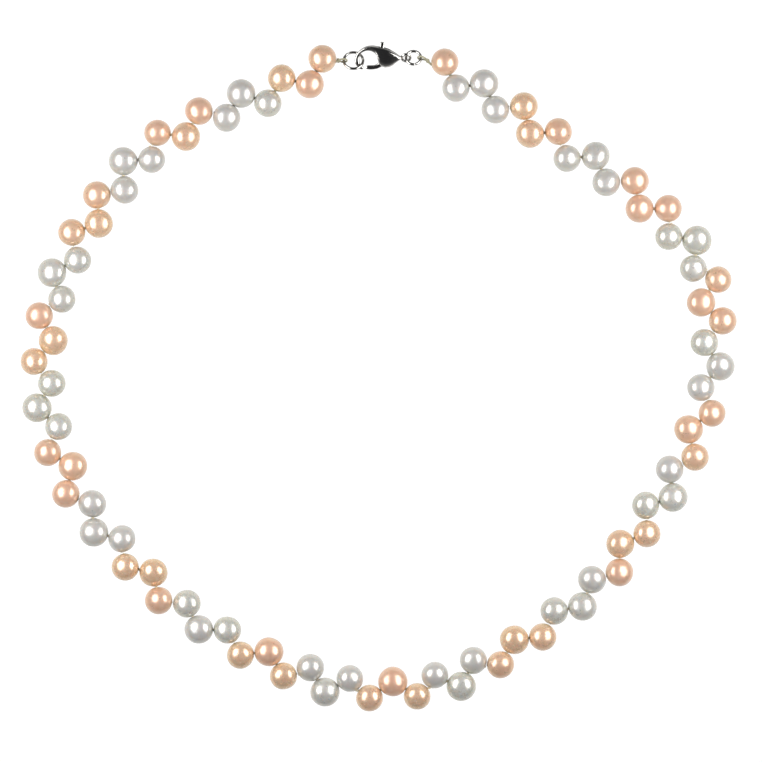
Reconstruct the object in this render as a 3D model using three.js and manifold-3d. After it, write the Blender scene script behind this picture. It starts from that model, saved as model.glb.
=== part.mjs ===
// A button-pearl necklace: 85 freshwater pearls strung off centre on a silk thread, peach and white
// in turn by threes, closed at the back by two jump rings and a lobster clasp.
// Millimetres, +Z up. The necklace lies flat on z = 0 with its clasp towards +Y.

import * as THREE from 'three';
import { mergeVertices } from 'three/addons/utils/BufferGeometryUtils.js';
import Module from 'manifold-3d';

const wasm = await Module();
wasm.setup();

// ---------------------------------------------------------------- driving dimensions

// Pearls. Two neighbours are strung PEARL_SPACING apart, centre to centre.
const PEARL_SPACING = 6.5;
const PEARL_GAP = 0.4;
const PEARL_HEIGHT = 5.6;
const PEARLS_IN_GROUP = 3;
const DRILL_CLEARANCE = 0.3;
const SLEEVE_WALL = 0.4;

// Silk thread and the loops that tie it to the jump rings.
const THREAD_DIAMETER = 0.6;
const THREAD_BREAK = 0.36;
const KNOT_DIAMETER = 1.1;
const LOOP_CLEARANCE = 0.3;

// Jump rings: outside diameter and wire.
const LEFT_RING_DIAMETER = 5.0;
const RIGHT_RING_DIAMETER = 4.0;
const RING_WIRE = 0.6;
const RING_SLIT = 0.15;
const RIGHT_RING_TILT = -24;

// Lobster clasp. It lies rolled about its length, and the left ring crosses the hook twice,
// HOOK_SPAN apart, once under it and once over it.
const CLASP_CENTRE = [0.75, 72.6];
const CLASP_LIFT = 0.6;
const CLASP_ROLL = 16;
const CLASP_THICKNESS = 2.4;
const HOOK_THICKNESS = 1.1;
const HOOK_SPAN = 3.3;
const HOOK_CLEARANCE = 0.3;
const HOOK_BIGHT = [-6.45, -0.38];
const LEVER_THICKNESS = 0.8;
const LEVER_CLEARANCE = 0.2;
const PIN_DIAMETER = 0.7;
const PIN_AT = [1.0, -0.55];
const PIN_RECESS = 0.1;
const EYE_AT = [5.55, 0.25];
const EYE_DIAMETER = 2.5;
const EYE_WIRE = 0.6;
const EYE_TWIST = 24;
const SPRING_WIRE = 0.26;

// Where each group of pearls begins and ends along the thread: from the left end of the clasp,
// down the left side, round the front and up the right side. The pearls of a group sit evenly
// between its two points.
const STRAND = [
  [-9.6, 71.9], [-23.5, 65.2], [-37.7, 60.2], [-51.8, 52.8], [-61.1, 42.5], [-69.7, 29.7],
  [-75.1, 16.3], [-76.9, 0.7], [-74.6, -14.1], [-68.4, -28.2], [-58.3, -40.1], [-46.9, -51.6],
  [-33.1, -60.6], [-18.4, -67.8], [-4.8, -71.5], [11.5, -70.9], [24.6, -65.9], [39.0, -56.4],
  [51.9, -45.7], [61.3, -32.5], [69.5, -20.1], [75.3, -5.1], [76.5, 10.2], [75.0, 24.3],
  [66.6, 35.2], [55.2, 44.7], [41.8, 52.8], [29.9, 61.5], [16.4, 68.8], [11.9, 71.3],
];

// The strand folds across its width where a group ends on the left and another on the right.
// The last fold is FRONT_GROUPS / 2 groups away from the front of the necklace.
const FRONT_GROUPS = 3;
const BACK_GROUPS = 2;

const PEARL_SIDES = 9;
const WIRE_SIDES = 6;

// ---------------------------------------------------------------- materials

const peach = new THREE.MeshStandardMaterial({ color: 0xf0c0a0, roughness: 0.28, metalness: 0.0 });
const white = new THREE.MeshStandardMaterial({ color: 0xd8d8d2, roughness: 0.28, metalness: 0.0 });
const silk = new THREE.MeshStandardMaterial({ color: 0xb4ae92, roughness: 0.8, metalness: 0.0 });
const plate = new THREE.MeshStandardMaterial({ color: 0xc8c8ca, roughness: 0.12, metalness: 1.0 });
const steel = new THREE.MeshStandardMaterial({ color: 0x9c9c9e, roughness: 0.3, metalness: 1.0 });

// ---------------------------------------------------------------- solids

const degrees = THREE.MathUtils.degToRad;
const UP = new THREE.Vector3(0, 0, 1);

function solid(geometry) {
  // A closed geometry as a solid: shared corners merged, faces without area left out.
  const bare = geometry.index ? geometry.toNonIndexed() : geometry.clone();
  for (const name of Object.keys(bare.attributes)) {
    if (name !== 'position') bare.deleteAttribute(name);
  }
  const merged = mergeVertices(bare, 1e-5);
  const corners = merged.index.array;
  const faces = [];
  for (let i = 0; i < corners.length; i += 3) {
    const [a, b, c] = corners.slice(i, i + 3);
    if (a !== b && b !== c && c !== a) faces.push(a, b, c);
  }
  return new wasm.Manifold(new wasm.Mesh({
    numProp: 3,
    vertProperties: new Float32Array(merged.attributes.position.array),
    triVerts: new Uint32Array(faces),
  }));
}

function mesh(name, shape, material) {
  const found = shape.getMesh();
  const geometry = new THREE.BufferGeometry();
  geometry.setAttribute('position', new THREE.BufferAttribute(found.vertProperties, 3));
  geometry.setIndex(new THREE.BufferAttribute(found.triVerts, 1));
  geometry.computeVertexNormals();
  const piece = new THREE.Mesh(geometry, material);
  piece.name = name;
  return piece;
}

function rod(start, end, diameter, sides) {
  // A round bar between two points.
  const along = end.clone().sub(start);
  const geometry = new THREE.CylinderGeometry(diameter / 2, diameter / 2, along.length(), sides);
  geometry.applyQuaternion(new THREE.Quaternion().setFromUnitVectors(
    new THREE.Vector3(0, 1, 0), along.clone().normalize()));
  const middle = start.clone().add(end).multiplyScalar(0.5);
  geometry.translate(middle.x, middle.y, middle.z);
  return solid(geometry);
}

function bead(centre, diameter) {
  const geometry = new THREE.IcosahedronGeometry(diameter / 2, 0);
  geometry.translate(centre.x, centre.y, centre.z);
  return solid(geometry);
}

function cordAlong(points, diameter) {
  // One thread through the points, with a small bead at each bend so that it stays one body.
  let thread = null;
  for (let i = 0; i + 1 < points.length; i += 1) {
    const length = rod(points[i], points[i + 1], diameter, WIRE_SIDES);
    thread = thread ? thread.add(length).add(bead(points[i], diameter)) : length;
  }
  return thread;
}

function torus(outside, wire, steps, placed) {
  const geometry = new THREE.TorusGeometry((outside - wire) / 2, wire / 2, WIRE_SIDES, steps);
  geometry.applyMatrix4(placed);
  return solid(geometry);
}

// ---------------------------------------------------------------- pearls

function pearlAt(centre, turn) {
  // A button pearl: round in plan, a small flat underneath and a domed top.
  const radius = (PEARL_SPACING - PEARL_GAP) / 2;
  const outline = [
    [0, 0], [0.5, 0], [1, 0.34], [1, 0.66], [0.5, 1], [0, 1],
  ].map(([across, up]) => new THREE.Vector2(across * radius, up * PEARL_HEIGHT));
  const geometry = new THREE.LatheGeometry(outline, PEARL_SIDES);
  geometry.rotateX(Math.PI / 2);
  geometry.rotateZ(turn);
  geometry.translate(centre.x, centre.y, 0);
  return solid(geometry);
}

const drillDiameter = THREAD_DIAMETER + 2 * DRILL_CLEARANCE;
const threadHeight = PEARL_HEIGHT / 2;
const corners = STRAND.map(([x, y]) => new THREE.Vector3(x, y, threadHeight));
const groupCount = STRAND.length - 1;
const pearlMaterials = [peach, white];
const pearlNames = ['peach_pearls', 'white_pearls'];

function pearlGroup(group, firstPearl, count) {
  // Pearls spaced evenly on the thread between two points. Each is drilled off centre, so the
  // odd ones stand outside the thread and the even ones inside it, touching their neighbours.
  const [start, end] = [corners[group], corners[group + 1]];
  const along = end.clone().sub(start).normalize();
  const outwards = new THREE.Vector3().crossVectors(along, UP);
  const pitch = end.distanceTo(start) / count;
  const offset = Math.sqrt(Math.max(PEARL_SPACING ** 2 - pitch ** 2, 0)) / 2;
  const turn = Math.atan2(along.y, along.x);
  let shape = null;
  const drilled = [];
  for (let i = 0; i < count; i += 1) {
    const onThread = start.clone().addScaledVector(along, pitch * (i + 0.5));
    const side = (firstPearl + i) % 2 ? 1 : -1;
    const pearl = pearlAt(onThread.clone().addScaledVector(outwards, side * offset), turn);
    shape = shape ? shape.add(pearl) : pearl;
    drilled.push(onThread);
  }
  if (count > 1) {
    const sleeve = drillDiameter + 2 * SLEEVE_WALL;
    shape = shape.add(rod(drilled[0], drilled[count - 1], sleeve, WIRE_SIDES));
  }
  const past = PEARL_SPACING;
  return shape.subtract(rod(
    start.clone().addScaledVector(along, -past), end.clone().addScaledVector(along, past),
    drillDiameter, WIRE_SIDES));
}

const necklace = new THREE.Group();
for (let group = 0; group < groupCount; group += 1) {
  const count = group < groupCount - 1 ? PEARLS_IN_GROUP : 1;
  const shape = pearlGroup(group, group * PEARLS_IN_GROUP + 1, count);
  const number = String(group + 1).padStart(2, '0');
  necklace.add(mesh(`${pearlNames[group % 2]}_${number}`, shape, pearlMaterials[group % 2]));
}

// ---------------------------------------------------------------- jump rings

function ringFrame(centre, tilt) {
  // A ring lying flat, then tilted about the line that the clasp pulls along.
  const placed = new THREE.Matrix4().makeTranslation(...centre);
  return placed.multiply(new THREE.Matrix4().makeRotationX(degrees(tilt)));
}

function jumpRing(diameter, placed, slitAngle) {
  // A round wire ring, sawn through once.
  const slit = new THREE.BoxGeometry(diameter, RING_SLIT, diameter);
  slit.translate(diameter / 2, 0, 0);
  slit.rotateZ(degrees(slitAngle));
  slit.applyMatrix4(placed);
  return torus(diameter, RING_WIRE, 24, placed).subtract(solid(slit));
}

const [claspX, claspY] = CLASP_CENTRE;
const claspZ = CLASP_LIFT + CLASP_THICKNESS / 2;
const leftRingAt = [claspX + HOOK_BIGHT[0], claspY + HOOK_BIGHT[1], claspZ];
// The ring is tilted against the clasp by what its wire needs to pass under the hook and over it.
const passing = (HOOK_THICKNESS + RING_WIRE) / 2 + HOOK_CLEARANCE;
const leftRingTilt = CLASP_ROLL - THREE.MathUtils.radToDeg(Math.asin(2 * passing / HOOK_SPAN));
const claspFrame = new THREE.Matrix4().makeTranslation(claspX, claspY, claspZ)
  .multiply(new THREE.Matrix4().makeRotationX(degrees(CLASP_ROLL)));
const eyeCentre = new THREE.Vector3(EYE_AT[0], EYE_AT[1], 0).applyMatrix4(claspFrame);
const rightRingReach = (RIGHT_RING_DIAMETER - RING_WIRE) / 2;
const rightRingAt = [eyeCentre.x + rightRingReach, eyeCentre.y, eyeCentre.z];

const leftRingFrame = ringFrame(leftRingAt, leftRingTilt);
const rightRingFrame = ringFrame(rightRingAt, RIGHT_RING_TILT);
necklace.add(mesh('left_jump_ring', jumpRing(LEFT_RING_DIAMETER, leftRingFrame, 120), plate));
necklace.add(mesh('right_jump_ring', jumpRing(RIGHT_RING_DIAMETER, rightRingFrame, -80), plate));

// ---------------------------------------------------------------- thread

function tieAt(end, ring, side) {
  // The end of the thread: a knot outside the last pearl, a stem, and a loop round the ring's wire,
  // square to the wire where it passes through.
  const reach = (ring.diameter - RING_WIRE) / 2;
  const wire = new THREE.Vector3(side * reach, 0, 0).applyMatrix4(ring.frame);
  const wireRuns = new THREE.Vector3(0, 1, 0).transformDirection(ring.frame);
  const loopOutside = RING_WIRE + 2 * LOOP_CLEARANCE + 2 * THREAD_DIAMETER;
  const away = end.clone().sub(wire).projectOnPlane(wireRuns).normalize();
  const placed = new THREE.Matrix4().makeBasis(
    away, new THREE.Vector3().crossVectors(wireRuns, away), wireRuns).setPosition(wire);
  const foot = wire.clone().addScaledVector(away, (loopOutside - THREAD_DIAMETER) / 2);
  const knot = end.clone().lerp(foot, 0.5);
  const loop = torus(loopOutside, THREAD_DIAMETER, 10, placed);
  return { knot, shape: loop.add(rod(end, foot, THREAD_DIAMETER, WIRE_SIDES)) };
}

function threadPiece(name, first, last, tie) {
  // The thread inside the groups first to last, stopped short of the next piece at each fold.
  const points = corners.slice(first, last + 1).map((corner) => corner.clone());
  const tail = points.length - 1;
  const cutStart = points[1].clone().sub(points[0]).setLength(THREAD_BREAK / 2);
  const cutEnd = points[tail - 1].clone().sub(points[tail]).setLength(THREAD_BREAK / 2);
  if (first > 0) points[0].add(cutStart);
  if (last < groupCount) points[tail].add(cutEnd);
  let shape = cordAlong(points, THREAD_DIAMETER);
  if (tie) {
    const end = first > 0 ? points[tail] : points[0];
    const tied = tieAt(end, tie.ring, tie.side);
    shape = shape.add(bead(end, THREAD_DIAMETER)).add(tied.shape).add(bead(tied.knot, KNOT_DIAMETER));
  }
  return mesh(name, shape, silk);
}

const leftTie = { ring: { frame: leftRingFrame, diameter: LEFT_RING_DIAMETER }, side: -1 };
const rightTie = { ring: { frame: rightRingFrame, diameter: RIGHT_RING_DIAMETER }, side: 1 };
const middle = (groupCount - 1) / 2;
const frontFirst = middle - (FRONT_GROUPS - 1) / 2;
const frontLast = frontFirst + FRONT_GROUPS;
necklace.add(threadPiece('thread_front', frontFirst, frontLast));
for (let band = 1; frontFirst - band >= BACK_GROUPS; band += 1) {
  const left = frontFirst - band;
  const right = groupCount - left;
  const number = String(band).padStart(2, '0');
  necklace.add(threadPiece(`thread_left_${number}`, left, left + 1));
  necklace.add(threadPiece(`thread_right_${number}`, right - 1, right));
}
necklace.add(threadPiece('thread_left_end', 0, BACK_GROUPS, leftTie));
necklace.add(threadPiece('thread_right_end', groupCount - BACK_GROUPS, groupCount, rightTie));

// ---------------------------------------------------------------- clasp

function plateOf(points, thickness, rise = 0) {
  // A flat piece of the clasp: a closed outline, its thickness centred on the clasp's mid plane.
  const outline = new THREE.Shape(points.map(([x, y]) => new THREE.Vector2(x, y)));
  const geometry = new THREE.ExtrudeGeometry(outline, { depth: thickness, bevelEnabled: false });
  geometry.translate(0, 0, rise - thickness / 2);
  geometry.applyMatrix4(claspFrame);
  return solid(geometry);
}

function round(points, steps) {
  // A smooth closed outline through the points.
  const curve = new THREE.CatmullRomCurve3(
    points.map(([x, y]) => new THREE.Vector3(x, y, 0)), true, 'centripetal');
  return curve.getPoints(steps).slice(0, steps).map((point) => [point.x, point.y]);
}

function pegHole(diameter) {
  // A bar through the clasp on the lever's pivot.
  const bar = (side) => new THREE.Vector3(...PIN_AT, side * CLASP_THICKNESS).applyMatrix4(claspFrame);
  return rod(bar(-1), bar(1), diameter, 12);
}

// The hook: one claw from the body's back round to its tip.
const hookOutline = round([
  [2.6, 1.9], [0.6, 2.75], [-1.9, 3.1], [-4.1, 2.6], [-5.7, 1.2], [-6.2, -0.4], [-5.6, -1.8],
  [-4.7, -2.4], [-4.05, -2.3], [-4.2, -1.75], [-4.95, -1.2], [-5.15, -0.2], [-4.95, 1.0],
  [-3.85, 1.9], [-2.2, 1.8], [-0.6, 1.0], [0.4, 0.4], [2.0, 0.2],
], 40);
// The body: two cheeks over the lever, drawn in to the neck.
const bodyOutline = round([
  [4.3, 0.55], [3.2, 1.35], [1.6, 2.3], [0.3, 2.7], [-1.2, 2.85], [-2.3, 2.6], [-2.1, 2.0],
  [-1.2, 1.2], [-0.9, -0.2], [-0.5, -1.5], [0.6, -1.95], [1.9, -1.75], [3.1, -0.95], [4.3, -0.1],
], 30);
// The slot that the lever works in, open at the nose and at the thumb tab.
const slotOutline = [
  [-0.75, 3.6], [2.1, 3.6], [2.0, 1.5], [3.0, 0.9], [2.9, -0.5], [1.9, -1.25], [0.6, -2.6],
  [-3.9, -3.0], [-3.9, -0.9], [-1.4, 0.9], [-0.75, 1.3],
];
const leverOutline = round([
  [1.45, -0.2], [0.95, 0.4], [0.65, 1.6], [0.35, 2.7], [0.0, 3.75], [-0.35, 3.7], [-0.3, 2.8],
  [-0.1, 1.5], [-0.1, 0.3], [-0.6, -0.8], [-1.6, -1.45], [-3.0, -1.5], [-3.55, -1.75],
  [-3.45, -2.3], [-2.4, -2.45], [-0.9, -2.2], [0.5, -1.45], [1.35, -1.0],
], 36);

const slotWidth = LEVER_THICKNESS + 2 * LEVER_CLEARANCE;
const pinHole = PIN_DIAMETER + 2 * LEVER_CLEARANCE;
const eyeFrame = claspFrame.clone()
  .multiply(new THREE.Matrix4().makeTranslation(EYE_AT[0], EYE_AT[1], 0))
  .multiply(new THREE.Matrix4().makeRotationX(degrees(EYE_TWIST)));
const eye = torus(EYE_DIAMETER, EYE_WIRE, 16, eyeFrame);
const claspBody = plateOf(bodyOutline, CLASP_THICKNESS)
  .add(plateOf(hookOutline, HOOK_THICKNESS))
  .subtract(plateOf(slotOutline, slotWidth))
  .add(eye)
  .subtract(pegHole(pinHole));
necklace.add(mesh('clasp_body', claspBody, plate));

const lever = plateOf(leverOutline, LEVER_THICKNESS).subtract(pegHole(pinHole));
necklace.add(mesh('clasp_lever', lever, plate));

const pinReach = CLASP_THICKNESS / 2 - PIN_RECESS;
const pinEnds = [-pinReach, pinReach].map(
  (z) => new THREE.Vector3(...PIN_AT, z).applyMatrix4(claspFrame));
necklace.add(mesh('clasp_pin', rod(...pinEnds, PIN_DIAMETER, 8), steel));

// The bow spring in the back of the slot, which pushes the lever's tab away from the neck.
const springPath = [
  [2.6, -0.4], [2.65, 0.3], [2.2, 0.9], [1.65, 1.25], [1.15, 1.25],
].map(([x, y]) => new THREE.Vector3(x, y, 0).applyMatrix4(claspFrame));
necklace.add(mesh('clasp_spring', cordAlong(springPath, SPRING_WIRE), steel));

export default necklace;
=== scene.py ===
"""A necklace of 85 button pearls, peach and white in turn by threes, strung off centre on knotted
silk, with two jump rings and a lobster clasp. Lengths are in millimetres until a mesh is made."""

import math

import bpy
import numpy as np
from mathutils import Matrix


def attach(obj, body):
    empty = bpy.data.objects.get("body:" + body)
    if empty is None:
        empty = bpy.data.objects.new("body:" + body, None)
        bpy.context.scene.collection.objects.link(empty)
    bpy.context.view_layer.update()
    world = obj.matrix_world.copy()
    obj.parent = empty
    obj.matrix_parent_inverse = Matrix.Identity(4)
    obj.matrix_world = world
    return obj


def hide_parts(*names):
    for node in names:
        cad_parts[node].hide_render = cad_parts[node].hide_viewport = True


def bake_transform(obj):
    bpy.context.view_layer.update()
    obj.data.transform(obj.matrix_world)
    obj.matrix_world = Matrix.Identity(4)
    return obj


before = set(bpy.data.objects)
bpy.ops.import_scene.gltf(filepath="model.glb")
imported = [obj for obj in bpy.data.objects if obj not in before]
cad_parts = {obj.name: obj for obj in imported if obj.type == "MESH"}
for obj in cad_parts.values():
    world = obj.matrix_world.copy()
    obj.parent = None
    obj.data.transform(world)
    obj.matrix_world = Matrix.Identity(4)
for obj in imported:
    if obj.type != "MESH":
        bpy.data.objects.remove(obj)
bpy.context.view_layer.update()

# ------------------------------------------------------------------------------------------
# Pearls. Cultured freshwater button pearls, 85 of them: nacre all through, grown in thin layers,
# most of them a little flatter below than above. Each is drilled off its middle, so that on the
# thread they stand outside it and inside it in turn and shoulder against their neighbours.

METRES = 0.001
PEARL_SPACING = 6.5
PEARL_HEIGHT = 5.6
PEARLS_IN_GROUP = 3
THREAD_HEIGHT = PEARL_HEIGHT / 2
DRILL_RADIUS, DRILL_MOUTH, MOUTH_FLARE = 0.42, 0.24, 1.12
AROUND_DRILL, ALONG_SKIN = 68, 56
BUTTON_TOP, BUTTON_BOTTOM, TOP_SPREAD = 0.09, 0.17, (0.1, 1.85)
BUTTON_LEAN = 8.0
SWELL, SWELL_INWARD = 0.009, 0.75
DIMPLES, DIMPLE_DEPTH, DIMPLE_WIDTH = 5, 0.018, (0.05, 0.14)
PAUSES, PAUSE_DEPTH, PAUSE_WIDTH = 2, (-0.02, 0.028), 0.045
HOLLOWS, HOLLOW_DEPTH, HOLLOW_WIDTH = 4, 0.13, (0.30, 0.48)
# A fold's limit either way, a pearl's share of the room it has there, how far the middle pearl of
# three presses into the larger of its two neighbours, and how much pearls differ in radius.
FOLD_LIMIT, FOLD_PEARL, PRESSED, SIZE_SPREAD = 24.0, 0.997, 0.03, 0.015
FIRST_SEED = 1000

# Where each group of pearls begins and ends on the thread.
STRAND = np.array([
    (-9.6, 71.9), (-23.5, 65.2), (-37.7, 60.2), (-51.8, 52.8), (-61.1, 42.5), (-69.7, 29.7),
    (-75.1, 16.3), (-76.9, 0.7), (-74.6, -14.1), (-68.4, -28.2), (-58.3, -40.1), (-46.9, -51.6),
    (-33.1, -60.6), (-18.4, -67.8), (-4.8, -71.5), (11.5, -70.9), (24.6, -65.9), (39.0, -56.4),
    (51.9, -45.7), (61.3, -32.5), (69.5, -20.1), (75.3, -5.1), (76.5, 10.2), (75.0, 24.3),
    (66.6, 35.2), (55.2, 44.7), (41.8, 52.8), (29.9, 61.5), (16.4, 68.8), (11.9, 71.3),
])


def unit(vectors):
    """Each vector over its own length."""
    return vectors / np.linalg.norm(vectors, axis=-1, keepdims=True)


def grid_faces(rows, columns, ring_of_rows):
    """Corner numbers of a grid's four-sided faces. Its columns meet round the piece, and its
    rows do too where ring_of_rows is true."""
    row = np.arange(rows if ring_of_rows else rows - 1)[:, None]
    column = np.arange(columns)[None, :]
    below, right = (row + 1) % rows, (column + 1) % columns
    corners = [row * columns + column, row * columns + right,
               below * columns + right, below * columns + column]
    return np.stack(np.broadcast_arrays(*corners), axis=-1).reshape(-1, 4)


def skin(name, grid, material, ring_of_rows=False, uv=None, values=None):
    """A piece whose surface is a grid of points, rows by columns. An open grid is closed at its
    first and last row by a fan round the row's mean point. uv gives each point's place on a cord,
    and values its named numbers or vectors for the material."""
    rows, columns = grid.shape[:2]
    points = grid.reshape(-1, 3)
    quads = grid_faces(rows, columns, ring_of_rows)
    fans = np.empty((0, 3), int)
    if not ring_of_rows:
        points = np.vstack([points, grid[0].mean(0), grid[-1].mean(0)])
        edge = np.arange(columns)
        onward = (edge + 1) % columns
        last, count = (rows - 1) * columns, rows * columns
        fans = np.vstack([
            np.stack([onward, edge, np.full(columns, count)], 1),
            np.stack([last + edge, last + onward, np.full(columns, count + 1)], 1)])
    mesh = bpy.data.meshes.new(name)
    corners = np.concatenate([quads.ravel(), fans.ravel()])
    starts = np.concatenate([np.arange(len(quads)) * 4, quads.size + np.arange(len(fans)) * 3])
    mesh.vertices.add(len(points))
    mesh.vertices.foreach_set("co", (points * METRES).astype(np.float32).ravel())
    mesh.loops.add(len(corners))
    mesh.loops.foreach_set("vertex_index", corners.astype(np.int32))
    mesh.polygons.add(len(starts))
    mesh.polygons.foreach_set("loop_start", starts.astype(np.int32))
    mesh.update(calc_edges=True)
    for word, numbers in (values or {}).items():
        numbers = np.asarray(numbers, np.float32).reshape(rows * columns, -1)
        spare = len(points) - len(numbers)
        numbers = np.vstack([numbers, numbers[[0, -1]][:spare]])
        kind = "FLOAT_VECTOR" if numbers.shape[1] == 3 else "FLOAT"
        field = "vector" if numbers.shape[1] == 3 else "value"
        mesh.attributes.new(word, kind, "POINT").data.foreach_set(field, numbers.ravel())
    if uv is not None:
        places = np.vstack([uv.reshape(-1, 2), uv.reshape(-1, 2)[[0, -1]]])[corners]
        mesh.uv_layers.new(name="cord").data.foreach_set("uv", places.astype(np.float32).ravel())
    mesh.shade_smooth()
    mesh.materials.append(material)
    piece = bpy.data.objects.new(name, mesh)
    bpy.context.scene.collection.objects.link(piece)
    return piece


class Reading:
    """One output of a finish's nodes. Arithmetic on it adds Math nodes."""

    def __init__(self, finish, socket):
        self.finish, self.socket = finish, socket

    def math(self, operation, *terms):
        return self.finish.node("ShaderNodeMath", {"operation": operation}, dict(enumerate(terms)))

    def __add__(self, other):
        return self.math("ADD", self, other)

    def __sub__(self, other):
        return self.math("SUBTRACT", self, other)

    def __rsub__(self, other):
        return self.math("SUBTRACT", other, self)

    def __mul__(self, other):
        return self.math("MULTIPLY", self, other)

    def __truediv__(self, other):
        return self.math("DIVIDE", self, other)

    __radd__, __rmul__ = __add__, __mul__


class Finish:
    """A material made of nodes. node() adds one: its type, its settings, its sockets' values."""

    def __init__(self, name):
        self.material = bpy.data.materials.new(name)
        self.material.use_nodes = True
        self.tree = self.material.node_tree
        self.tree.nodes.clear()

    def node(self, kind, settings=None, sockets=None, out=0):
        """Makes the settings first, then fills or links the sockets, and gives one output."""
        added = self.tree.nodes.new(kind)
        for word, value in (settings or {}).items():
            setattr(added, word, value)
        for word, value in (sockets or {}).items():
            if isinstance(value, Reading):
                self.tree.links.new(value.socket, added.inputs[word])
            else:
                added.inputs[word].default_value = value
        return Reading(self, added.outputs[out]) if added.outputs else None

    def blend(self, share, first, second, how="MIX"):
        """A colour that goes from first to second as share goes from 0 to 1."""
        first, second = (c if isinstance(c, Reading) else (*c, 1.0) for c in (first, second))
        return self.node("ShaderNodeMix", {"data_type": "RGBA", "blend_type": how},
                         {0: share, 6: first, 7: second}, out=2)

    def between(self, value, low, high):
        """0 below low, 1 above high, and smooth between."""
        return self.node("ShaderNodeMapRange", {"interpolation_type": "SMOOTHSTEP"},
                         {"Value": value, "From Min": low, "From Max": high})

    def noise(self, place, scale, detail=2.0, shift=0.0):
        """Cloudy noise from 0 to 1 with its features 1/scale apart."""
        return self.node("ShaderNodeTexNoise", {"noise_dimensions": "4D"},
                         {"Vector": place, "W": shift, "Scale": scale, "Detail": detail})

    def bump(self, height, strength, distance):
        """A tilt of the surface from a height, which distance turns into metres."""
        return self.node("ShaderNodeBump", {},
                         {"Height": height, "Strength": strength, "Distance": distance})

    def done(self, **sockets):
        """Ends in the shader. A word's underlines stand for the spaces of a socket's name."""
        named = {word.replace("_", " "): value for word, value in sockets.items()}
        shader = self.node("ShaderNodeBsdfPrincipled", {}, named)
        self.node("ShaderNodeOutputMaterial", {}, {"Surface": shader})
        return self.material


def nacre(name, body, crown_painted_light, edge, blush):
    """Nacre of one colour. body is its colour at large, crown the painted light and shade of the
    top and bottom, for the surround that they reflect, edge the paler painted light round the
    waist, for the pale table that the rim reflects and the light through it, and also the colour of
    the growth bands, and blush a drift from pearl to pearl."""
    finish = Finish(name)
    place = finish.node("ShaderNodeTexCoord", out=3)
    grown = finish.node("ShaderNodeAttribute", {"attribute_name": "grown"}, out=1)
    lot = finish.node("ShaderNodeSeparateXYZ", {}, {0: finish.node(
        "ShaderNodeAttribute", {"attribute_name": "lot"}, out=1)})
    tint = lot
    banding = Reading(finish, lot.socket.node.outputs[1])
    shift = Reading(finish, lot.socket.node.outputs[2])
    # How far above or below the thread: 0 at the waist, 1 on the top and bottom.
    height = finish.node("ShaderNodeSeparateXYZ", {}, {0: place}, out=2) / (THREAD_HEIGHT * METRES)
    up_down = finish.node("ShaderNodeMath", {"operation": "ABSOLUTE"}, {0: height - 1})
    cloud = finish.noise(grown, 1.6, 3.0, shift)
    drift = finish.noise(grown, 3.0, 2.0, shift + 7.0)
    ripple = finish.noise(grown, 26.0, 3.0, shift + 19.0)
    # Painted light: round the waist the colour goes to edge, a paler tone for the pale table that
    # the rim reflects and the light through it; body takes over towards the top and bottom.
    painted_rim_fade = finish.between(up_down + 0.35 * cloud, 0.35, 1.05)
    colour = finish.blend(painted_rim_fade, edge, body)
    # Painted light and shade: crown on the top and bottom, for the surround that they reflect.
    colour = finish.blend(finish.between(up_down + 0.3 * drift, 0.85, 1.25) * 0.8, colour, crown_painted_light)
    colour = finish.blend(
        finish.between(cloud * 0.6 + tint * 0.7, 0.3, 0.95) * 0.55, colour, blush)
    # Growth layers: faint bands across the axis that the pearl grew round, bent by the drift.
    axis = finish.node("ShaderNodeSeparateXYZ", {}, {0: grown}, out=2)
    layers = finish.node("ShaderNodeMath", {"operation": "SINE"},
                         {0: (axis + 0.16 * drift) * 34.0}) * 0.5 + 0.5
    colour = finish.blend(layers * banding * 0.15, colour, edge)
    pits = finish.node("ShaderNodeTexVoronoi", {"voronoi_dimensions": "4D"},
                       {"Vector": grown, "W": shift, "Scale": 3.1})
    # The pits: small hollows in the relief, whose colour is darkened a little as painted shade in
    # them.
    pit = finish.between(pits, 0.0, 0.06)
    relief = ripple * 0.08 + layers * banding * 0.4 + drift * 0.8 + pit * 0.3
    return finish.done(
        Base_Color=finish.blend((1 - pit) * 0.2, colour, body, "MULTIPLY"),
        Roughness=0.16 + 0.14 * drift + 0.06 * ripple + 0.06 * tint,
        Metallic=0.29 + 0.18 * cloud, Coat_Weight=0.55 + 0.4 * cloud,
        Normal=finish.bump(relief, 0.30, 0.00006),
        IOR=1.5, Specular_IOR_Level=0.5, Coat_Roughness=0.13, Coat_IOR=1.42,
        Subsurface_Weight=0.5, Subsurface_Radius=(1.0, 0.7, 0.5), Subsurface_Scale=0.0025)


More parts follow.
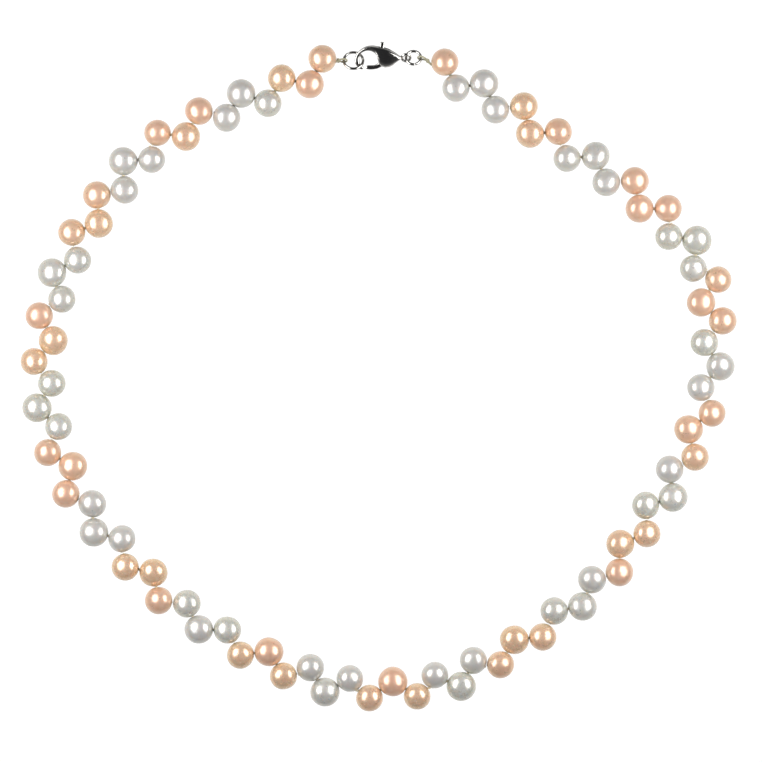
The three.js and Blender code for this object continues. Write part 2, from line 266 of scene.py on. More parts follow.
def pearl_points(centre, along, outside, offset, radius, dice):
    """A drilled pearl as a ring of rows. A ray leaves the drill's middle at an angle to the drill
    and at a turn about it, and meets an ellipsoid where the root of a quadratic says. The shoulders
    are then filled out, low waves, dimples and hollows are pressed in, and the rows return
    through the drilled hole. Also gives each point's direction from the pearl's middle, turned
    at random so that no two pearls show the same grain."""
    turn = np.linspace(0, 2 * math.pi, AROUND_DRILL, endpoint=False)[None, :]
    entry = math.asin((DRILL_RADIUS + DRILL_MOUTH) / radius)
    lean = np.linspace(entry, math.pi - entry, ALONG_SKIN)[:, None]
    ray = np.stack(np.broadcast_arrays(
        np.cos(lean), np.sin(lean) * np.cos(turn), np.sin(lean) * np.sin(turn)), axis=-1)
    axes = np.array([radius, radius, THREAD_HEIGHT])
    start = np.array([0.0, -offset, 0.0])
    # A button seldom sits level: its short axis leans by a few degrees, whichever way it grew.
    nod, roll = dice.normal(0, math.radians(BUTTON_LEAN), 2)
    lean_x = np.array([[1, 0, 0], [0, math.cos(nod), math.sin(nod)],
                       [0, -math.sin(nod), math.cos(nod)]])
    lean_y = np.array([[math.cos(roll), 0, math.sin(roll)], [0, 1, 0],
                       [-math.sin(roll), 0, math.cos(roll)]])
    level = (lean_x @ lean_y).T
    ray_in, start_in = ray @ level, start @ level
    a = ((ray_in / axes) ** 2).sum(-1)
    b = (ray_in * start_in / axes ** 2).sum(-1)
    c = ((start_in / axes) ** 2).sum() - 1
    reach = (-b + np.sqrt(b * b - a * c)) / a
    q = unit((start_in + ray_in * reach[..., None]) / axes)
    # The shell's low waves, then its dimples.
    waves = dice.normal(0, 1, 6)
    swell = (waves[0] * q[..., 0] * q[..., 1] + waves[1] * q[..., 0] * q[..., 2]
             + waves[2] * q[..., 1] * q[..., 2] + waves[3] * (q[..., 0] ** 2 - q[..., 1] ** 2)
             + waves[4] * q[..., 0] ** 3 + waves[5] * q[..., 1] ** 3)
    swell = swell + 1.1 * np.sin(
        q @ dice.normal(0, 2.4, (3, 4)) + dice.uniform(0, 6, 4)).sum(-1) / 2
    spots = unit(dice.normal(0, 1, (DIMPLES, 3)))
    depth = dice.uniform(0.0, DIMPLE_DEPTH, DIMPLES)
    width = dice.uniform(*DIMPLE_WIDTH, DIMPLES)
    dents = (depth * np.exp((q @ spots.T - 1) / width ** 2)).sum(-1)
    # Up to two shallow rings where the pearl's growth paused; a depth below nothing leaves none.
    pause = q @ unit(dice.normal(0, 1, 3) * (0.5, 0.5, 1.4))
    for where, deep in zip(dice.uniform(0.45, 0.85, PAUSES), dice.uniform(*PAUSE_DEPTH, PAUSES)):
        dents = dents + max(deep, 0) * np.exp(-((pause - where) / PAUSE_WIDTH) ** 2)
    # Broad shallow hollows: the faces where a button pearl lay against the shell.
    hollows = unit(dice.normal(0, 1, (HOLLOWS, 3)) * (0.8, 0.8, 1.0))
    dents = dents + (dice.uniform(0.0, HOLLOW_DEPTH, HOLLOWS) * np.exp(
        (q @ hollows.T - 1) / dice.uniform(*HOLLOW_WIDTH, HOLLOWS) ** 2)).sum(-1)
    shell = axes * (1 + SWELL * (np.tanh(swell) - SWELL_INWARD) - dents / radius)[..., None]
    # The button's full shoulders: some pearls are nearly round on top, others flat.
    fill = np.where(q[..., 2] > 0, BUTTON_TOP * dice.uniform(*TOP_SPREAD), BUTTON_BOTTOM)
    fill = fill * (1 - q[..., 2] ** 2)
    out = q * shell
    out[..., 2] *= 1 + fill * np.abs(q[..., 2])
    out = out @ level.T
    # The hole: a chamfered mouth, then its wall to the middle and on to the other mouth.
    circle = np.stack([np.cos(turn[0]), np.sin(turn[0])], -1)
    wall = []
    for mouth, inward, wide in ((out[-1], 0.10, MOUTH_FLARE), (out[-1], 0.45, 1.0),
                                (out[0], 0.45, 1.0), (out[0], 0.10, MOUTH_FLARE)):
        ring = np.empty_like(mouth)
        ring[:, 0] = mouth[:, 0] - np.sign(mouth[:, 0]) * inward
        ring[:, 1:] = DRILL_RADIUS * wide * circle + start[1:]
        wall.append(ring)
    out = np.concatenate([out, wall])
    q = unit(out / axes)
    sideways = np.array([along[1], -along[0], 0.0]) * outside
    basis = np.stack([along, sideways, [0, 0, 1]])
    if outside < 0:  # keep the faces outwards where the pearl's frame is left-handed
        out, q = out[:, ::-1], q[:, ::-1]
    return centre + out @ basis, q @ np.linalg.qr(dice.normal(0, 1, (3, 3)))[0]


# Which groups of pearls move together: each band holds one on the left and one on the right.
bands = {"front": (14, 15, 16), "back": (1, 2, 28, 29)}
bands.update({f"band_{n:02d}": (14 - n, 16 + n) for n in range(1, 12)})
body_of_group = {group: body for body, groups in bands.items() for group in groups}
# Each nacre's colours: body, then the painted light and shade of the top and bottom, the painted
# light round the waist, and the blush.
finishes = {
    "peach": nacre("peach_nacre", (0.74, 0.525, 0.360), (0.72, 0.500, 0.365),
                   (0.73, 0.530, 0.325), (0.74, 0.440, 0.340)),
    "white": nacre("white_nacre", (0.60, 0.597, 0.545), (0.61, 0.607, 0.585),
                   (0.56, 0.550, 0.450), (0.57, 0.548, 0.553)),
}
groups = len(STRAND) - 1
places = []
for group in range(groups):
    ends = np.column_stack([STRAND[group:group + 2], (THREAD_HEIGHT, THREAD_HEIGHT)])
    count = PEARLS_IN_GROUP if group < groups - 1 else 1
    along = unit(ends[1] - ends[0])
    pitch = np.linalg.norm(ends[1] - ends[0]) / count
    offset = math.sqrt(max(PEARL_SPACING ** 2 - pitch ** 2, 0)) / 2
    for i in range(count):
        outside = -1 if len(places) % 2 else 1
        sideways = np.array([along[1], -along[0], 0.0]) * outside
        centre = ends[0] + along * pitch * (i + 0.5) + sideways * offset
        places.append((group, along, outside, offset, centre))
# What room two neighbours keep when the strand folds between them, about a line across the
# width: the step between them, with its share along the length drawn in by half the fold.
steps = np.diff([place[-1] for place in places], axis=0)
folded = np.hypot(steps[:, 0], steps[:, 1] * math.cos(math.radians(FOLD_LIMIT / 2)))
folded[np.arange(len(folded)) % PEARLS_IN_GROUP < PEARLS_IN_GROUP - 1] = PEARL_SPACING
room = np.minimum(np.append(folded, PEARL_SPACING), np.insert(folded, 0, PEARL_SPACING))
radii = FOLD_PEARL * room / 2
radii[1::PEARLS_IN_GROUP] = PEARL_SPACING + PRESSED - np.maximum(
    radii[:-1:PEARLS_IN_GROUP], radii[2::PEARLS_IN_GROUP])
for number, (group, along, outside, offset, centre) in enumerate(places, 1):
    shade = ("peach", "white")[group % 2]
    dice = np.random.default_rng(FIRST_SEED + number)
    radius = radii[number - 1] - dice.uniform(0, SIZE_SPREAD)
    grid, grown = pearl_points(centre, along, outside, offset, radius, dice)
    lot = np.broadcast_to((dice.uniform(0, 1), dice.uniform(0, 1) ** 3,
                           dice.uniform(0, 50)), grid.shape)
    pearl = skin(f"pearl_{number:02d}", grid, finishes[shade], True,
                 values={"grown": grown, "lot": lot})
    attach(pearl, body_of_group[group + 1])
    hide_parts(f"{shade}_pearls_{group + 1:02d}")

# ------------------------------------------------------------------------------------------
# Thread. One length of three-ply silk through every drill hole, drawn in one piece for each part
# of the strand that folds by itself; each piece stops just short of the fold line, to clear the
# next. Beyond the end pearls it is knotted, looped round the jump ring and cemented.

SILK_RADIUS = 0.27
SILK_LAY = 1.5
PLY_DEPTH = 0.22
SILK_SIDES = 18
SILK_STEP = 0.16
FOLD_GAP = 1.32 * SILK_RADIUS
RING_WIRE = 0.6
LEFT_RING_DIAMETER, RIGHT_RING_DIAMETER = 5.0, 4.0
LOOP_REACH = 0.70
LOOP_OUTSIDE = 2.4
KNOT_SCALE = 0.118
LOOP_STEPS, KNOT_STEPS = 72, 110
DOME = np.radians([72.0, 48.0, 24.0])


def tube(path, radius, up, closed=False, sides=SILK_SIDES, plies=0):
    """A round section carried along a path, square to it. Its radius may change along the path,
    and with plies it is fluted, the flutes turning once in each lay. An open end is domed. Gives
    the grid and each point's place: the turn round it, and the length along it."""
    if closed:
        tangent = unit(np.roll(path, -1, 0) - np.roll(path, 1, 0))
    else:
        tangent = unit(np.gradient(path, axis=0))
        first, last = np.broadcast_to(radius, len(path))[[0, -1]]
        path = np.vstack([path[0] - tangent[0] * first * np.sin(DOME)[:, None], path,
                          path[-1] + tangent[-1] * last * np.sin(DOME[::-1])[:, None]])
        radius = np.concatenate([first * np.cos(DOME), np.broadcast_to(radius, len(tangent)),
                                 last * np.cos(DOME[::-1])])
        tangent = np.vstack([tangent[[0, 0, 0]], tangent, tangent[[-1, -1, -1]]])
    side = unit(np.cross(tangent, up))
    over = np.cross(side, tangent)
    length = np.concatenate([[0], np.cumsum(np.linalg.norm(np.diff(path, axis=0), axis=1))])
    turn = np.linspace(2 * math.pi, 0, sides, endpoint=False)
    reach = np.broadcast_to(np.asarray(radius, float), len(path))[:, None] * np.ones(sides)
    if plies:
        flute = np.abs(np.cos(plies / 2 * (turn[None, :] - 2 * math.pi / SILK_LAY
                                           * length[:, None])))
        reach = reach * (1 - PLY_DEPTH + PLY_DEPTH * flute)
    grid = path[:, None] + reach[..., None] * (
        np.cos(turn)[None, :, None] * side[:, None] + np.sin(turn)[None, :, None] * over[:, None])
    place = np.stack(np.broadcast_arrays(turn[None, :] / (2 * math.pi), length[:, None]), -1)
    return grid, place


def walk(points, step, short_first=0.0, short_last=0.0):
    """Points a step apart along straight lines from point to point, short of the ends."""
    length = np.concatenate([[0], np.cumsum(np.linalg.norm(np.diff(points, axis=0), axis=1))])
    at = np.linspace(short_first, length[-1] - short_last, max(int(length[-1] / step), 4))
    return np.stack([np.interp(at, length, points[:, axis]) for axis in range(3)], -1)


def ring_frame(centre, tilt):
    """A ring's axes and middle: it lies flat, then leans about the line the clasp pulls along."""
    lean = math.radians(tilt)
    return np.array([[1, 0, 0], [0, math.cos(lean), math.sin(lean)],
                     [0, -math.sin(lean), math.cos(lean)]]), np.array(centre)


def silk_finish(name, painted_groove_shade, ply, fluffed):
    """Twisted silk: painted shade darkens it in the grooves between the plies; it is paler on the
    crowns of the plies and where it is fluffed, with fine fibres that run along them."""
    finish = Finish(name)
    cord = finish.node("ShaderNodeUVMap", {"uv_map": "cord"})
    spread = finish.node("ShaderNodeSeparateXYZ", {}, {0: cord})
    turn, length = spread, Reading(finish, spread.socket.node.outputs[1])
    lean = turn * 3.0 - length * (3.0 / SILK_LAY)
    crown_painted_light = finish.node("ShaderNodeMath", {"operation": "ABSOLUTE"}, {
        0: finish.node("ShaderNodeMath", {"operation": "COSINE"}, {0: lean * math.pi})})
    along = finish.node("ShaderNodeCombineXYZ", {}, {0: lean * 9.0, 1: length * 0.6})
    fibres = finish.noise(along, 2.2, 4.0)
    fluff = finish.noise(along, 0.5, 2.0, 5.0)
    # Painted shade: the grooves between the plies take the groove colour, the crowns the ply
    # colour.
    colour = finish.blend(crown_painted_light * 0.6 + fibres * 0.5, painted_groove_shade, ply)
    colour = finish.blend(finish.between(fluff, 0.45, 0.7) * 0.5, colour, fluffed)
    return finish.done(
        Base_Color=colour, Roughness=0.5 + 0.3 * fibres,
        Normal=finish.bump(fibres, 0.5, 0.00004),
        Sheen_Weight=0.35, Sheen_Roughness=0.4, Specular_IOR_Level=0.35)


# The first colour of each silk is the painted shade in its grooves.
silk = silk_finish("straw_silk", (0.50, 0.40, 0.24), (0.90, 0.80, 0.56), (0.94, 0.86, 0.66))
# The tied ends are stiffened with a drop of cement, which turns the silk a dull olive.
cemented = silk_finish("cemented_silk", (0.15, 0.14, 0.085), (0.44, 0.42, 0.29),
                       (0.50, 0.48, 0.35))
raised = np.column_stack([STRAND, np.full(len(STRAND), THREAD_HEIGHT)])
FLAT_UP = np.array([0.0, 0.0, 1.0])


def lay_silk(name, path, radius, node, body, up=FLAT_UP, closed=False, plies=3, finish=silk):
    """A piece of the thread along a path."""
    grid, place = tube(path, radius, up, closed, plies=plies)
    piece = skin(name, grid, finish, closed, uv=place)
    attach(piece, body)
    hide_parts(node)
    return piece


lay_silk("silk_front", walk(raised[13:17], SILK_STEP, FOLD_GAP, FOLD_GAP), SILK_RADIUS,
         "thread_front", "front")
for n in range(1, 12):
    for word, first in (("left", 13 - n), ("right", 15 + n)):
        length = walk(raised[first:first + 2], SILK_STEP, FOLD_GAP, FOLD_GAP)
        lay_silk(f"silk_{word}_{n:02d}", length, SILK_RADIUS, f"thread_{word}_{n:02d}",
                 f"band_{n:02d}")

# The rings' places, with the clasp's, because the thread's ends are tied to them.
CLASP_CENTRE = np.array([0.75, 72.6, 1.8])
CLASP_ROLL = 16.0
HOOK_THICKNESS, HOOK_SPAN, HOOK_CLEARANCE = 1.1, 3.3, 0.3
HOOK_BIGHT = np.array([-6.45, -0.38, 0.0])
EYE_AT = np.array([5.55, 0.25, 0.0])
RIGHT_RING_TILT = -24.0
clasp_axes, _ = ring_frame(CLASP_CENTRE, CLASP_ROLL)
passing = (HOOK_THICKNESS + RING_WIRE) / 2 + HOOK_CLEARANCE
left_ring = ring_frame(CLASP_CENTRE + HOOK_BIGHT,
                       CLASP_ROLL - math.degrees(math.asin(2 * passing / HOOK_SPAN)))
right_ring = ring_frame(
    CLASP_CENTRE + EYE_AT @ clasp_axes + ((RIGHT_RING_DIAMETER - RING_WIRE) / 2, 0, 0),
    RIGHT_RING_TILT)

for word, (axes, middle), diameter, side, ends in (
        ("left", left_ring, LEFT_RING_DIAMETER, -1, raised[2::-1]),
        ("right", right_ring, RIGHT_RING_DIAMETER, 1, raised[27:30])):
    node = f"thread_{word}_end"
    wire = middle + axes[0] * side * (diameter - RING_WIRE) / 2
    away = ends[-1] - wire
    away = unit(away - axes[1] * (away @ axes[1]))
    across = np.cross(axes[1], away)
    foot = wire + away * (LOOP_OUTSIDE - 2 * SILK_RADIUS) / 2
    knot = (ends[-1] + foot) / 2
    lay_silk(f"silk_{word}_end", walk(np.vstack([ends, knot]), SILK_STEP, FOLD_GAP),
             SILK_RADIUS, node, "back", finish=cemented)
    # The loop: a drop, round where it holds the wire and drawn out to the knot.
    turn = np.linspace(0, 2 * math.pi, LOOP_STEPS, endpoint=False)[:, None]
    stretch = np.maximum(np.cos(turn), 0) ** 2
    drop = (wire + away * LOOP_REACH * np.cos(turn) * (1 - stretch) + (knot - wire) * stretch
            + across * LOOP_REACH * np.sin(turn) * (1 - 0.45 * stretch))
    lay_silk(f"silk_loop_{word}", drop, SILK_RADIUS * 0.8, node, "back", axes[1], True,
             finish=cemented)
    # The knot: an overhand knot pulled tight, a closed curve of three crossings.
    bend = np.linspace(0, 2 * math.pi, KNOT_STEPS, endpoint=False)[:, None]
    trefoil = KNOT_SCALE * (
        (np.sin(bend) + 2 * np.sin(2 * bend)) * across
        + (np.cos(bend) - 2 * np.cos(2 * bend)) * axes[1] - 1.6 * np.sin(3 * bend) * away)
    lay_silk(f"silk_knot_{word}", knot + trefoil, SILK_RADIUS * 0.85, node, "back", away, True, 0,
             cemented)

# ------------------------------------------------------------------------------------------
# Jump rings. Round nickel-plated wire coiled on a mandrel, sawn through and closed up again: the
# cut still shows. The left one takes the hook, the right one holds the clasp by its eye.

RING_SLIT = 0.15
WIRE_SIDES, RING_STEPS = 24, 110


def plated_finish(name, tone, grain, painted_flank_shade=0.8):
    """Nickel plate over cast or drawn brass: mirror bright, with the slow waves of the metal
    under it, hairline polishing marks and a slight grey bloom in places. grain is how strongly
    the marks show, and tarnish how dark a painted shade makes its flanks and underside."""
    finish = Finish(name)
    place = finish.node("ShaderNodeTexCoord", out=3)
    waves = finish.noise(place, 420.0, 2.0)
    bloom = finish.noise(place, 900.0, 4.0, 3.0)
    drawn = finish.node("ShaderNodeMapping", {}, {"Vector": place, "Scale": (0.08, 1.0, 1.0),
                                                  "Rotation": (0.0, 0.0, 0.25)})
    marks = finish.noise(drawn, 9000.0, 3.0, 9.0)
    facing = finish.node("ShaderNodeSeparateXYZ", {}, {
        0: finish.node("ShaderNodeTexCoord", out=1)}, out=2)
    colour = finish.blend(finish.between(bloom, 0.35, 0.75), tone,
                          tuple(0.86 * part for part in tone))
    # Painted shade: what faces up keeps the plate's colour, and the flanks and underneath
    # are painted dark grey as shade.
    colour = finish.blend(
        finish.between(0.86 - facing + 0.25 * bloom, 0.1, 0.75) * painted_flank_shade, colour,
        tuple(0.22 * part for part in tone))
    return finish.done(
        Base_Color=colour, Metallic=1.0, Specular_Tint=(0.3, 0.3, 0.3, 1.0),
        Roughness=0.05 + 0.06 * bloom + grain * 0.10 * marks,
        Normal=finish.bump(waves * 0.9 + marks * grain * 0.05, 0.35, 0.00008))


plate = plated_finish("nickel_plate", (0.60, 0.59, 0.565), 1.0)

for word, (axes, middle), diameter, cut_at in (
        ("left", left_ring, LEFT_RING_DIAMETER, 120.0),
        ("right", right_ring, RIGHT_RING_DIAMETER, -80.0)):
    reach = (diameter - RING_WIRE) / 2
    gap = (RING_SLIT / 2 + RING_WIRE * 0.06) / reach
    turn = math.radians(cut_at) + np.linspace(gap, 2 * math.pi - gap, RING_STEPS)[:, None]
    path = middle + reach * (np.cos(turn) * axes[0] + np.sin(turn) * axes[1])
    ends_in = np.minimum(np.arange(RING_STEPS), np.arange(RING_STEPS)[::-1])
    grid, _ = tube(path, np.where(ends_in == 0, 0.94, 1.0) * RING_WIRE / 2, axes[2],
                   sides=WIRE_SIDES)
    # Sawn ends are flat: the dome rows are drawn back onto the cut.
    drawn_in = np.array([0.3, 0.6, 0.9])[:, None, None]
    grid[:3] = grid[3].mean(0) + (grid[3] - grid[3].mean(0)) * drawn_in
    grid[-3:] = grid[-4].mean(0) + (grid[-4] - grid[-4].mean(0)) * drawn_in[::-1]
    ring = skin(f"ring_{word}", grid, plate)
    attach(ring, f"{word}_ring")
    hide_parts(f"{word}_jump_ring")

# ------------------------------------------------------------------------------------------
# Clasp. A lobster claw cast in brass and plated: the hook swells into two domed cheeks with the
# lever's slot between them, and draws in to a neck and a twisted eye. The lever is a stamping
# with a rounded edge; a pin through the cheeks carries it, and a bow of spring wire shuts it.

# The claw from the neck to its tip: outer edge x and y, inner edge x and y, half thickness.
CLAW = np.array([
    (4.66, 0.44, 4.66, 0.04, 0.56), (4.30, 0.55, 4.30, -0.10, 0.84),
    (3.75, 0.92, 3.70, -0.48, 0.98), (3.20, 1.35, 3.10, -0.95, 1.06),
    (2.40, 1.85, 2.50, -1.45, 1.14), (1.60, 2.30, 1.90, -1.75, 1.19),
    (0.95, 2.53, 1.25, -1.92, 1.20), (0.30, 2.70, 0.60, -1.95, 1.18),
    (-0.50, 2.85, -0.40, -1.45, 1.13), (-1.20, 2.95, -0.82, -0.40, 1.06),
    (-1.90, 3.05, -1.15, 0.80, 0.98), (-2.60, 3.03, -1.75, 1.48, 0.88),
    (-3.30, 2.92, -2.50, 1.84, 0.78), (-4.10, 2.60, -3.35, 1.92, 0.68),
    (-5.00, 1.95, -4.28, 1.62, 0.60), (-5.70, 1.20, -4.88, 1.05, 0.56),
    (-6.10, 0.30, -5.12, 0.25, 0.55), (-6.15, -0.60, -5.10, -0.50, 0.55),
    (-5.85, -1.40, -4.92, -1.12, 0.55), (-5.35, -2.05, -4.62, -1.48, 0.52),
    (-4.80, -2.38, -4.27, -1.75, 0.48), (-4.42, -2.40, -4.10, -2.00, 0.40),
])
SLOT_OUTLINE = np.array([
    (-0.75, 3.6), (2.1, 3.6), (2.0, 1.5), (3.0, 0.9), (2.9, -0.5), (1.9, -1.25), (0.6, -2.6),
    (-3.9, -3.0), (-3.9, -0.9), (-1.4, 0.9), (-0.75, 1.3),
])
LEVER_OUTLINE = np.array([
    (1.45, -0.2), (0.95, 0.4), (0.65, 1.6), (0.5, 2.9), (0.62, 3.6), (0.3, 3.85), (-0.3, 3.8),
    (-0.38, 2.8), (-0.1, 1.5), (-0.1, 0.3), (-0.6, -0.8), (-1.6, -1.45), (-3.0, -1.5),
    (-3.55, -1.75), (-3.45, -2.3), (-2.4, -2.45), (-0.9, -2.2), (0.5, -1.45), (1.35, -1.0),
])
SPRING_PATH = np.array([(2.6, -0.4), (2.65, 0.3), (2.2, 0.9), (1.65, 1.25), (1.15, 1.25)])
SLOT_WIDTH, LEVER_THICKNESS, SPRING_WIRE = 1.2, 0.8, 0.26
EYE_DIAMETER, EYE_WIRE, EYE_TWIST = 2.5, 0.6, 24.0
PIN_AT, PIN_DIAMETER, PIN_REACH = (1.0, -0.55), 0.7, 0.74
BOXY, FLAT_SHARE = 0.52, 0.6
CLAW_SIDES, EYE_SIDES, EYE_STEPS = 56, 20, 64
EDGE_ROUNDING = 0.17


def smooth_through(points, steps, closed=False):
    """A curve through the points that leaves each along the line between its two neighbours, with
    a cubic from point to point."""
    if closed:
        ahead, behind = np.roll(points, -1, 0), np.roll(points, 1, 0)
    else:
        ahead = np.vstack([points[1:], 2 * points[-1] - points[-2]])
        behind = np.vstack([2 * points[0] - points[1], points[:-1]])
    slope = (ahead - behind) / 2
    spans = len(points) if closed else len(points) - 1
    t = np.linspace(0, 1, steps, endpoint=False)[None, :, None]
    p0, p1 = points[:spans, None], ahead[:spans, None]
    m0, m1 = slope[:spans, None], np.roll(slope, -1, 0)[:spans, None]
    curve = ((2 * t ** 3 - 3 * t ** 2 + 1) * p0 + (t ** 3 - 2 * t ** 2 + t) * m0
             + (3 * t ** 2 - 2 * t ** 3) * p1 + (t ** 3 - t ** 2) * m1).reshape(-1, points.shape[1])
    return curve if closed else np.vstack([curve, points[-1]])


def in_clasp(points):
    """From the clasp's own frame into the necklace's."""
    return CLASP_CENTRE + points @ clasp_axes


def plate_piece(name, outline, thickness, material):
    """A flat plate of the outline, its thickness centred on the clasp's middle plane."""
    count = len(outline)
    flat = np.zeros((2, count, 3))
    flat[..., :2] = outline
    flat[:, :, 2] = np.array([[-thickness / 2], [thickness / 2]])
    area = (outline[:, 0] * np.roll(outline[:, 1], -1)
            - outline[:, 1] * np.roll(outline[:, 0], -1)).sum()
    flat = flat if area > 0 else flat[:, ::-1]
    edge = np.arange(count)
    onward = (edge + 1) % count
    walls = np.stack([edge, onward, count + onward, count + edge], 1).tolist()
    mesh = bpy.data.meshes.new(name)
    mesh.from_pydata((in_clasp(flat.reshape(-1, 3)) * METRES).tolist(), [],
                     [edge[::-1].tolist(), (count + edge).tolist(), *walls])
    mesh.materials.append(material)
    piece = bpy.data.objects.new(name, mesh)
    bpy.context.scene.collection.objects.link(piece)
    return piece


def carve(piece, tool, operation):
    """Joins a tool to the piece or cuts it out of it, and leaves the tool out of the scene."""
    cut = piece.modifiers.new("carve", "BOOLEAN")
    cut.object, cut.operation, cut.solver = tool, operation, "EXACT"
    bpy.context.view_layer.update()
    result = bpy.data.meshes.new_from_object(
        piece.evaluated_get(bpy.context.evaluated_depsgraph_get()))
    piece.modifiers.remove(cut)
    piece.data = result
    bpy.data.objects.remove(tool)


def round_over(piece, width, angle):
    """Rounds a piece's edges that are sharper than the angle."""
    bevel = piece.modifiers.new("round_over", "BEVEL")
    bevel.width, bevel.segments, bevel.limit_method = width * METRES, 3, "ANGLE"
    bevel.angle_limit = math.radians(angle)
    piece.data.shade_smooth()
    piece.data.set_sharp_from_angle(angle=math.radians(angle + 10))


def fit(piece, body, node):
    """Puts a piece on its body and in place of the CAD node."""
    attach(piece, body)
    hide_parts(node)


claw = smooth_through(CLAW, 6)
outer, inner = claw[:, :2], claw[:, 2:4]
turn = np.linspace(0, 2 * math.pi, CLAW_SIDES, endpoint=False)
wide = np.sign(np.cos(turn)) * np.abs(np.cos(turn)) ** BOXY
high = np.sign(np.sin(turn)) * (FLAT_SHARE * np.abs(np.sin(turn)) ** BOXY
                                + (1 - FLAT_SHARE) * np.abs(np.sin(turn)))
claw_grid = np.empty((len(claw), CLAW_SIDES, 3))
claw_grid[..., :2] = (((outer + inner) / 2)[:, None]
                      + wide[None, :, None] * ((outer - inner) / 2)[:, None])
claw_grid[..., 2] = claw[:, 4:5] * high
# The claw's flanks get a lighter painted shade than the rings'.
buffed_plate = plated_finish("buffed_plate", (0.68, 0.67, 0.65), 1.0, 0.3)
clasp_body = skin("clasp_claw", in_clasp(claw_grid), buffed_plate)
lean = math.radians(EYE_TWIST)
around = np.linspace(0, 2 * math.pi, EYE_STEPS, endpoint=False)[:, None]
eye_reach = (EYE_DIAMETER - EYE_WIRE) / 2
eye_path = EYE_AT + eye_reach * np.hstack([
    np.cos(around), np.sin(around) * math.cos(lean), np.sin(around) * math.sin(lean)])
eye_up = np.array([0.0, -math.sin(lean), math.cos(lean)]) @ clasp_axes
eye_grid, _ = tube(in_clasp(eye_path), EYE_WIRE / 2, eye_up, True, EYE_SIDES)
carve(clasp_body, skin("eye_tool", eye_grid, buffed_plate, True), "UNION")
carve(clasp_body, plate_piece("slot_tool", SLOT_OUTLINE, SLOT_WIDTH, buffed_plate),
      "DIFFERENCE")
clasp_body.data.shade_smooth()
clasp_body.data.set_sharp_from_angle(angle=math.radians(38))
fit(clasp_body, "clasp", "clasp_body")

lever = plate_piece("clasp_lever_stamping", smooth_through(LEVER_OUTLINE, 5, True),
                    LEVER_THICKNESS, buffed_plate)
round_over(lever, EDGE_ROUNDING, 40)
fit(lever, "lever", "clasp_lever")

bright_steel = plated_finish("bright_steel", (0.62, 0.61, 0.60), 2.0)
pin_line = np.array([(*PIN_AT, -PIN_REACH), (*PIN_AT, PIN_REACH)])
pin_grid, _ = tube(in_clasp(walk(pin_line, 0.3)), PIN_DIAMETER / 2, clasp_axes[0], sides=24)
pin = skin("clasp_pivot", pin_grid, bright_steel)
fit(pin, "clasp", "clasp_pin")
bow = smooth_through(np.column_stack([SPRING_PATH, np.zeros(len(SPRING_PATH))]), 8)
bow_grid, _ = tube(in_clasp(bow), SPRING_WIRE / 2, clasp_axes[2], sides=14)
spring = skin("clasp_bow_spring", bow_grid, bright_steel)
in_clasp(np.array([2.5, 0.7, 0.0])) * METRES
in_clasp(np.array([1.3, 1.3, 0.0])) * METRES
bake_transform(spring)
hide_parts("clasp_spring")

# ------------------------------------------------------------------------------------------
# The studio: a white table set well below, so that a strand that folds down stays in sight, as
# when jewellery lies on clear glass above a board. Two soft boxes stand left and right, the
# surround darkens overhead, and the camera looks straight down.

CAMERA_AT = (0.59, -0.92)
CAMERA_HEIGHT = 900.0
FRAME_WIDTH = 173.7
TABLE_RADIUS, TABLE_BELOW, TABLE_GLOW = 3000.0, 80.0, 0.82
# The soft boxes: width, length and power, then how far out, back and up each stands, in metres.
BOX_WIDTH, BOX_LENGTH, BOX_POWER = 0.20, 0.31, 0.92
BOX_OUT, BOX_BACK, BOX_UP = 0.195, 0.04, 0.21

paper = Finish("table_paper")
paper_place = paper.node("ShaderNodeTexCoord", out=3)
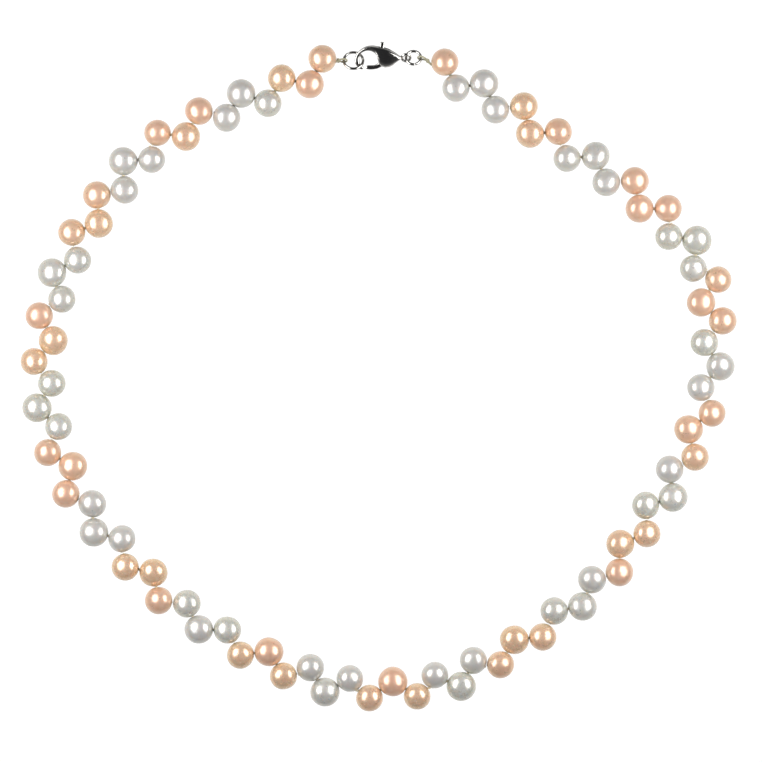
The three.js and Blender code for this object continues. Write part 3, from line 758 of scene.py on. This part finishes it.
# Seen directly the table glows at full strength; what the pieces reflect of it is a fifth less.
table_white = paper.done(
    Base_Color=paper.blend(paper.noise(paper_place, 90.0, 3.0), (0.24, 0.24, 0.239),
                           (0.27, 0.27, 0.269)),
    Roughness=0.7, Specular_IOR_Level=0.2,
    Emission_Color=paper.blend(paper.node("ShaderNodeLightPath"), (0.80, 0.80, 0.795),
                               (1.0, 1.0, 0.995)), Emission_Strength=TABLE_GLOW)
spin = np.linspace(0, 2 * math.pi, 96, endpoint=False)
rings = np.array([1.0, 0.25, 0.06])[:, None] * TABLE_RADIUS
table_grid = np.stack(np.broadcast_arrays(rings * np.cos(spin), rings * np.sin(spin),
                                          np.array([-4.0, 0.0, 0.0])[:, None] - TABLE_BELOW), -1)
skin("table", table_grid, table_white)

for word, side in (("left", -1), ("right", 1)):
    box = bpy.data.lights.new(f"softbox_{word}", "AREA")
    box.shape, box.size, box.size_y = "ELLIPSE", BOX_WIDTH, BOX_LENGTH
    box.energy, box.color = BOX_POWER, (1.0, 0.995, 0.985)
    lamp = bpy.data.objects.new(box.name, box)
    lamp.location = (side * BOX_OUT, BOX_BACK, BOX_UP)
    lamp.rotation_euler = (0, side * math.atan2(BOX_OUT, BOX_UP), 0)
    bpy.context.scene.collection.objects.link(lamp)

surround = bpy.data.worlds.new("surround")
surround.use_nodes = True
bpy.context.scene.world = surround
sky = Finish.__new__(Finish)
sky.tree = surround.node_tree
sky.tree.nodes.clear()
upward = sky.node("ShaderNodeSeparateXYZ", {}, {0: sky.node("ShaderNodeTexCoord")}, out=2)
glow = sky.node("ShaderNodeBackground", {}, {
    "Color": sky.blend(sky.node("ShaderNodeLightPath"), sky.blend(
        sky.between(upward, 0.3, 0.9), (0.15, 0.15, 0.15), (0.02, 0.02, 0.022)),
        (0.95, 0.95, 0.945)),
    "Strength": 1.0})
sky.node("ShaderNodeOutputWorld", {}, {"Surface": glow})

lens = bpy.data.cameras.new("camera_above")
lens.sensor_width = 36.0
lens.lens = 36.0 * (CAMERA_HEIGHT - THREAD_HEIGHT) / FRAME_WIDTH
lens.clip_end = 10.0
camera = bpy.data.objects.new("camera_above", lens)
camera.location = (CAMERA_AT[0] * METRES, CAMERA_AT[1] * METRES, CAMERA_HEIGHT * METRES)
bpy.context.scene.collection.objects.link(camera)
bpy.context.scene.camera = camera
bpy.context.scene.view_settings.view_transform = "Standard"
